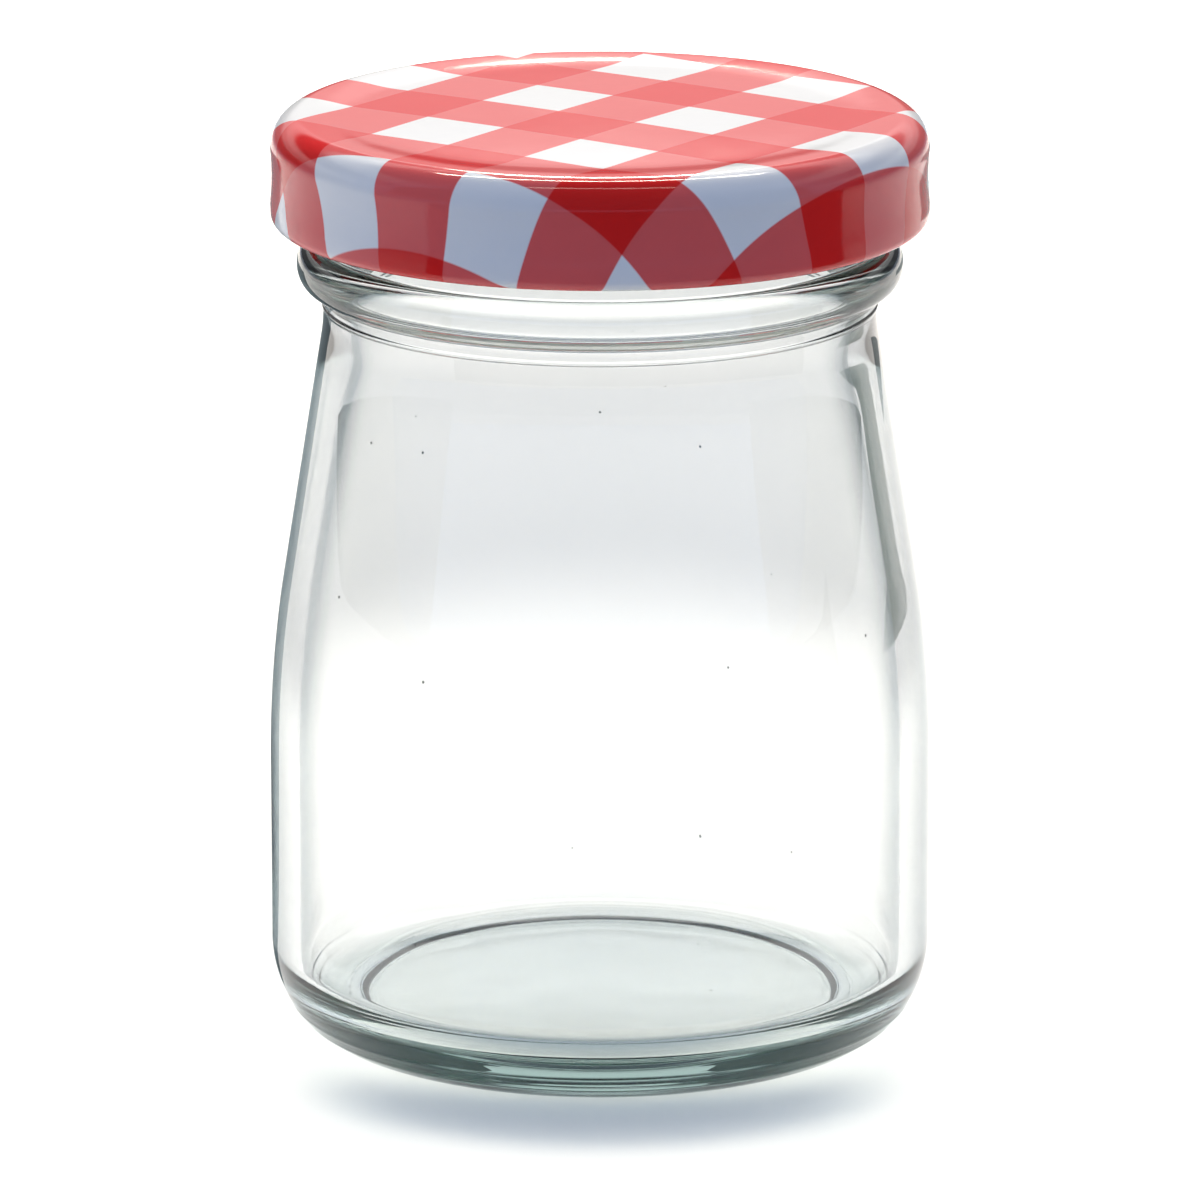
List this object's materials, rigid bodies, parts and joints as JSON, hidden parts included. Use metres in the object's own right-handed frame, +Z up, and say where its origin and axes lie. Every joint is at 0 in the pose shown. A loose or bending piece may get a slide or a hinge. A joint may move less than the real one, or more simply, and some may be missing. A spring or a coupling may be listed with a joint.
{
  "type": "glass jar with twist-off lid",
  "caption": "Small clear glass jar with a rounded heel, a body that leans in to a beaded neck, and a checked twist-off metal lid; stands empty and holds food.",
  "frame": {"origin": "centre of the flat ring that the jar stands on, on the jar's axis", "axes": "+Z up along the jar's axis; +Y away from the side shown in front; +X to the right as seen from the front"},
  "size_m": [0.0566, 0.0566, 0.08],
  "materials": {
    "clear_glass": "clear soda-lime glass with a faint green-grey tint in its thick places",
    "printed_tinplate": "glossy lacquered tinplate, printed with a red and white check"
  },
  "bodies": {
    "root": {"jar": "clear_glass", "lid": "printed_tinplate"}
  },
  "joints": []
}
